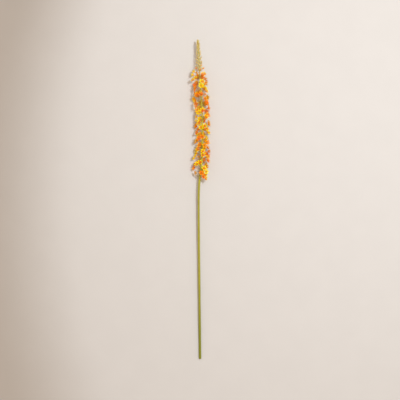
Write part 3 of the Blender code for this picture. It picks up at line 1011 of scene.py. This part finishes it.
def closed_bud_places():
    """Every closed bud as its solid has it: its place along the stalk and its turn, its root, the way it
    points, the length of its neck, its own length and thickness, and its share of the way up."""
    dice = random.Random(BUD_SEED)
    orange = [Shape(node_mesh(node)) for node in nodes_of("large_bud")]
    found = []
    for k in range(BUDS):
        share = k / (BUDS - 1)
        along = mix(BUD_FOOT, BUD_HEAD, 1 - (1 - share) ** BUD_CROWDING)
        way = Vector(stalk_axes(along)[0])
        play = FIRST_PLAY
        while True:
            turn = k * GOLDEN_ANGLE + stray(dice, 1) * BUD_STRAY_TURN * play
            length, thickness, stem = (mix(low, top, share) for low, top in zip(LOW_BUD, TOP_BUD))
            stem *= dice.uniform(*BUD_STEM_PLAY)
            lean = mix(*BUD_LEANS, share**TIP_TAPER) + stray(dice, BUD_LEAN_PLAY)
            pointing = Vector(outward(along, turn)) * math.sin(lean) + way * math.cos(lean)
            root = Vector(stalk_centre(along))
            neck = stalk_radius(along) + stem
            shape = plain_bud(root, pointing, way, neck, length, thickness)
            if all(shape.clear_of(other) for other in orange):
                break
            play += PLAY_GROWTH
        found.append((along, turn, np.array(root), np.array(pointing), neck, length, thickness, share))
    return found


def plain_flower(flower):
    """A flower's petals as flat strips, to test its place."""
    mesh = bmesh.new()
    inward = 1 - CLOSING_INWARD * flower.closing
    rise = CLOSING_UPWARD * flower.closing
    for i in range(PETALS):
        turn = i * PETAL_TURN
        rows = []
        for out, height, half in PLAIN_PETAL:
            edges = (flower.at(out * inward, height + out * rise, turn, side) for side in (-half, half))
            rows.append([mesh.verts.new(point) for point in edges])
        for low, high in zip(rows, rows[1:]):
            mesh.faces.new((low[0], low[1], high[1], high[0]))
    return Shape(mesh)


def plain_stalk(flower):
    """A flower's own stalk with three sides, to test its place."""
    line, way = stalk_line(flower, 4)
    mesh = bmesh.new()
    rings = tube_rings(line, [PLAIN_STALK_RADIUS] * 4, 3, way)
    rows = [[mesh.verts.new(point) for point in ring] for ring in rings]
    for low, high in zip(rows, rows[1:]):
        for i in range(3):
            mesh.faces.new((low[i], low[i - 1], high[i - 1], high[i]))
    return Shape(mesh)


def small_flower(dice, k, reaches, sizes, closings, lift):
    """A small flower or bud at a random place round the spike, for small_flowers to keep or not."""
    along = dice.uniform(SPIKE_FOOT, SPIKE_HEAD)
    turn = k * GOLDEN_ANGLE + stray(dice, SMALL_STRAY_TURN)
    way, _, _ = (Vector(axis) for axis in stalk_axes(along))
    out = Vector(outward(along, turn))
    lift += stray(dice, SMALL_LIFT_PLAY)
    facing = out * math.cos(lift) + way * math.sin(lift)
    seat = Vector(stalk_centre(along)) + out * dice.uniform(*reaches) + way * PEDICEL_RISE
    towards = way * math.cos(dice.uniform(0, math.pi)) + out.cross(way) * 0.7
    return Flower(seat, facing, towards, dice.uniform(*sizes), dice.uniform(*closings))


@functools.cache
def small_flowers():
    """The half-open flowers and the late buds that find a place clear of all the others, on every side."""
    dice = random.Random(SMALL_SEED)
    lowest, highest = (Vector(corner) for corner in SOLIDS)
    taken = [Shape(node_mesh(node)) for node in (*nodes_of("bloom_pair"), *nodes_of("large_bud"))]
    taken += [plain_stalk(flower) for flower in solid_flowers()]
    half_open, buds = [], []
    for k in range(HALF_OPEN + LATE_BUDS):
        is_bud = k >= HALF_OPEN
        for _ in range(SMALL_TRIES):
            if is_bud:
                flower = small_flower(dice, k, *LATE_BUD_RULE)
                length, radius = LARGE_BUD_LENGTH * flower.size, LARGE_BUD_RADIUS * flower.size
                axes = (Vector(axis) for axis in (flower.seat, flower.facing, flower.second))
                shape = plain_bud(*axes, 0.0, length, radius)
            else:
                flower = small_flower(dice, k, *HALF_OPEN_RULE)
                shape = plain_flower(flower)
            shapes = (shape, plain_stalk(flower))
            points = (*shape.points, Vector(flower.at(0.0, SMALL_TOP, 0.0)))
            inside = all(lowest.x < at.x < highest.x and SMALL_LOWEST < at.z < highest.z for at in points)
            if inside and not any(one.crosses(other) for one in shapes for other in taken):
                taken += shapes
                (buds if is_bud else half_open).append(flower)
                break
    return half_open, buds


def all_flowers():
    """Every flower and orange bud that has a stalk of its own."""
    half_open, buds = small_flowers()
    return solid_flowers() + half_open + buds


class FOXTAIL_OT_stalk(bpy.types.Operator):
    """Grow the bare stalk and the core of the spike, with the cut face at its foot"""

    bl_idname = "foxtail.stalk"
    bl_label = "Stalk"

    def execute(self, context):
        green = context.scene.foxtail_green
        count = round((TIP - CUT_END) / STALK_STEP)
        places = np.linspace(CUT_END, TIP, count + 1)
        line = [stalk_centre(along) for along in places]
        sway, pitch = RIB_SWAY
        ribs = np.cos(STALK_RIBS * around(STALK_SIDES)[None, :] + sway * np.sin(pitch * places[:, None]))
        girth = np.array([stalk_radius(along) for along in places])
        girth += sum(height * np.sin(places * pitch + start) for height, pitch, start in SWELLS)
        rings = tube_rings(line, girth[:, None] + green.rib_depth / 2 * ribs, STALK_SIDES, (1, 0, 0))
        cut, centre = rings[0], rings[0].mean(axis=0)
        way = stalk_axes(CUT_END)[0]
        pith = centre + (cut - centre) * PITH_SHARE + way * PITH_DEPTH
        rim = centre + (cut - centre) * RIM_SHARE
        rings = np.concatenate((pith[None], rim[None], cut[None] + way * EDGE_ROUNDING, rings[1:]))
        along = np.concatenate(((0, 0, 0), np.linspace(0, 1, count + 1)[1:]))[:, None]
        inner = np.concatenate(((1, 1, 0), np.zeros(count)))[:, None]
        growth = Growth()
        across = (np.arange(STALK_SIDES) / STALK_SIDES)[None, :]
        growth.skin(rings, along=along, across=across, inner=inner)
        growth.piece("stalk", [stalk_finish("stalk_skin", green)], ["flower_stalk"])
        return {"FINISHED"}


class FOXTAIL_OT_flower_stalks(bpy.types.Operator):
    """Grow the thin stalk of every flower and orange bud"""

    bl_idname = "foxtail.flower_stalks"
    bl_label = "Flower stalks"

    def execute(self, context):
        growth = Growth()
        dice = random.Random(STALK_SEED)
        for flower in all_flowers():
            add_flower_stalk(growth, flower, dice.random())
        finish = sprig_finish("flower_stalk_skin", context.scene.foxtail_green, STALK_BLUSH)
        growth.piece("flower_stalks", [finish], ["flower_stalk"])
        return {"FINISHED"}


class FOXTAIL_OT_bracts(bpy.types.Operator):
    """Grow a thin bract under every flower stalk and closed bud"""

    bl_idname = "foxtail.bracts"
    bl_label = "Bracts"

    def execute(self, context):
        growth = Growth()
        dice = random.Random(BRACT_SEED)
        green = context.scene.foxtail_green
        for flower in all_flowers():
            along, foot, way, out = root_of(flower)
            root = foot + out * (stalk_radius(along) - BRACT_SINK) - way * BRACT_DROP
            length = green.bract_length * dice.uniform(*BRACT_LENGTHS)
            add_bract(growth, root, way, out, length, green.bract_width, dice.random())
        for along, turn, foot, _, neck, length, _, share in closed_bud_places():
            way, _, _ = stalk_axes(along)
            out = outward(along, turn)
            root = foot + out * (stalk_radius(along) - BRACT_SINK) - way * BUD_BRACT_DROP
            length = (neck + length) * dice.uniform(*BUD_BRACT_LENGTHS) + dice.uniform(*BRACT_HAIRS)
            width = green.bract_width * mix(*BUD_BRACT_WIDTHS, share)
            add_bract(growth, root, way, out, length, width, dice.random())
        growth.piece("bracts", [bract_finish("bract_skin", green)], ["flower_stalk"])
        return {"FINISHED"}


class FOXTAIL_OT_closed_buds(bpy.types.Operator):
    """Grow the closed green buds of the tip"""

    bl_idname = "foxtail.closed_buds"
    bl_label = "Closed buds"

    def execute(self, context):
        growth = Growth()
        dice = random.Random(CLOSED_BUD_SEED)
        green = context.scene.foxtail_green
        for along, _, root, pointing, neck, length, thickness, _ in closed_bud_places():
            start, end = stalk_radius(along) - BUD_STEM_ENDS[0], neck + BUD_STEM_ENDS[1]
            line = root + np.outer(np.linspace(start, end, 5), pointing)
            stem = tube_rings(line, np.full(5, thickness * BUD_STEM_SHARE), 8, stalk_axes(along)[0])
            tint = dice.random()
            growth.skin(stem, 1, along=np.linspace(0, 0.5, 5)[:, None], tint=tint)
            foot, radius = root + pointing * neck, thickness * BUD_GIRTH
            add_bud(growth, foot, pointing, length, radius, BUD_STATIONS, tint, dice, CLOSED_BUD_GRID)
        bud = bud_finish("closed_bud_skin", green.bud, CLOSED_BUD_RIB, green.skin, 0.55)
        finishes = [bud, sprig_finish("bud_stalk_skin", green, green.bud)]
        growth.piece("closed_buds", finishes, ["flower_stalk"])
        return {"FINISHED"}


class FOXTAIL_OT_orange_buds(bpy.types.Operator):
    """Grow the orange buds that are about to open"""

    bl_idname = "foxtail.orange_buds"
    bl_label = "Orange buds"

    def execute(self, context):
        fresh = bud_finish("orange_bud_skin", *ORANGE_BUD)
        browned = bud_finish("browned_bud_skin", *BROWNED_BUD)
        dice = random.Random(ORANGE_BUD_SEED)
        for k, node in enumerate(nodes_of("large_bud"), 1):
            bud = large_bud_of(node)
            growth = Growth()
            length = LARGE_BUD_LENGTH * bud.size + LARGE_BUD_SINK
            self.add_bud(growth, bud, length, LARGE_BUD_SLIMMING, dice, LARGE_BUD_GRID)
            growth.piece(f"orange_bud_{k}", [browned if k == 1 else fresh], [node])
        growth = Growth()
        for bud in small_flowers()[1]:
            self.add_bud(growth, bud, LARGE_BUD_LENGTH * bud.size, 1.0, dice, LATE_BUD_GRID)
        growth.piece("late_buds", [fresh], [])
        return {"FINISHED"}

    def add_bud(self, growth, bud, length, slimming, dice, grid):
        foot = bud.seat - bud.facing * LARGE_BUD_SINK
        radius = LARGE_BUD_RADIUS * bud.size * slimming
        add_bud(growth, foot, bud.facing, length, radius, LARGE_STATIONS, dice.random(), dice, grid)


class FOXTAIL_OT_flowers(bpy.types.Operator):
    """Grow the open flowers, two on each pair's solid, and the half-open ones among them"""

    bl_idname = "foxtail.flowers"
    bl_label = "Open flowers"

    def execute(self, context):
        look = context.scene.foxtail_flower
        petals = {}
        for tint in ("orange", "yellow", "red"):
            ground, edge = getattr(look, tint), getattr(look, tint + "_edge")
            petals["petal_" + tint] = petal_finish("petals_" + tint, ground, edge, look.heart)
        others = [
            thread_finish("filaments", *FILAMENT),
            pollen_finish("anthers", look.pollen),
            thread_finish("pistils", look.ovary, STYLE_HEAD),
            sprig_finish("receptacles", context.scene.foxtail_green, CUP_BLUSH),
        ]
        slots = {part["node"]: part["material_slot"] for part in frame["record"]["subparts"]}
        dice = random.Random(FLOWER_SEED)
        for node in nodes_of("bloom_pair"):
            growth = Growth()
            for flower in flowers_of(node):
                add_open_flower(growth, flower, dice, look)
            name = node.replace("bloom_pair", "flowers")
            growth.piece(name, [petals[slots[node]], *others], [node])
        dice = random.Random(HALF_OPEN_SEED)
        for k, slot in enumerate(petals):
            growth = Growth()
            for flower in small_flowers()[0][k :: len(petals)]:
                add_open_flower(growth, flower, dice, look)
            growth.piece(f"half_open_flowers_{k + 1}", [petals[slot], *others], [])
        return {"FINISHED"}


class FOXTAIL_OT_stage(bpy.types.Operator):
    """Set out the floor, the lamp, the light from all round and the camera that looks down on the stem"""

    bl_idname = "foxtail.stage"
    bl_label = "Stage"

    def execute(self, context):
        stage = context.scene.foxtail_stage
        self.add_floor(stage)
        self.add_lights(context.scene, stage)
        self.add_camera(context.scene, stage)
        return {"FINISHED"}

    def add_floor(self, stage):
        half = stage.floor_size / 2
        corners = [(-half, -half, 0), (half, -half, 0), (half, half, 0), (-half, half, 0)]
        mesh = bpy.data.meshes.new("floor")
        mesh.from_pydata(corners, [], [(0, 1, 2, 3)])
        mesh.materials.append(floor_finish("plaster", stage.floor_colour))
        floor = add_object("floor", mesh)

    def add_lights(self, scene, stage):
        spot = bpy.data.lights.new("spot", "SPOT")
        spot.energy = stage.spot_power
        spot.shadow_soft_size = stage.spot_size / 2
        spot.spot_size = stage.spot_spread
        spot.spot_blend = SPOT_BLEND
        soft = bpy.data.lights.new("soft_lamp", "AREA")
        soft.energy = stage.lamp_power
        soft.shape = "DISK"
        soft.size = stage.lamp_size
        aim = Vector(LAMP_AIM) - Vector(LAMP_PLACE)
        for lamp in (spot, soft):
            placed = add_object(lamp.name, lamp)
            placed.location = LAMP_PLACE
            placed.rotation_euler = aim.to_track_quat("-Z", "Y").to_euler()
            placed.visible_camera = False
        scene.world = Air("air").lit(stage.air_colour, stage.floor_colour)
        scene.view_settings.view_transform = "Standard"

    def add_camera(self, scene, stage):
        camera = bpy.data.cameras.new("camera")
        camera.lens = stage.lens
        camera.clip_end = VIEW_REACH
        placed = add_object("camera", camera)
        placed.location = (*PICTURE_MIDDLE, stage.camera_height)
        scene.camera = placed


class FOXTAIL_PT_panel(bpy.types.Panel):
    """Lists the pieces of the stem"""

    bl_label = "Foxtail Lily"
    bl_idname = "FOXTAIL_PT_panel"
    bl_space_type = "VIEW_3D"
    bl_region_type = "UI"
    bl_category = "Foxtail Lily"

    def draw(self, context):
        for operator in OPERATORS:
            self.layout.operator(operator.bl_idname)
        for name in SETTINGS:
            group = getattr(context.scene, name)
            box = self.layout.box()
            for key in group.bl_rna.properties.keys():
                if key not in ("rna_type", "name"):
                    box.prop(group, key)


OPERATORS = (
    FOXTAIL_OT_stage,
    FOXTAIL_OT_stalk,
    FOXTAIL_OT_flower_stalks,
    FOXTAIL_OT_bracts,
    FOXTAIL_OT_closed_buds,
    FOXTAIL_OT_orange_buds,
    FOXTAIL_OT_flowers,
)
SETTINGS = {
    "foxtail_flower": FlowerSettings,
    "foxtail_green": GreenSettings,
    "foxtail_stage": StageSettings,
}


def register():
    for kind in (*SETTINGS.values(), *OPERATORS, FOXTAIL_PT_panel):
        bpy.utils.register_class(kind)
    for name, kind in SETTINGS.items():
        setattr(bpy.types.Scene, name, PointerProperty(type=kind))


def unregister():
    for name in SETTINGS:
        delattr(bpy.types.Scene, name)
    for kind in (FOXTAIL_PT_panel, *reversed(OPERATORS), *reversed(SETTINGS.values())):
        bpy.utils.unregister_class(kind)


def main():
    register()
    for operator in OPERATORS:
        group, name = operator.bl_idname.split(".")
        getattr(getattr(bpy.ops, group), name)()


if __name__ == "__main__":
    main()
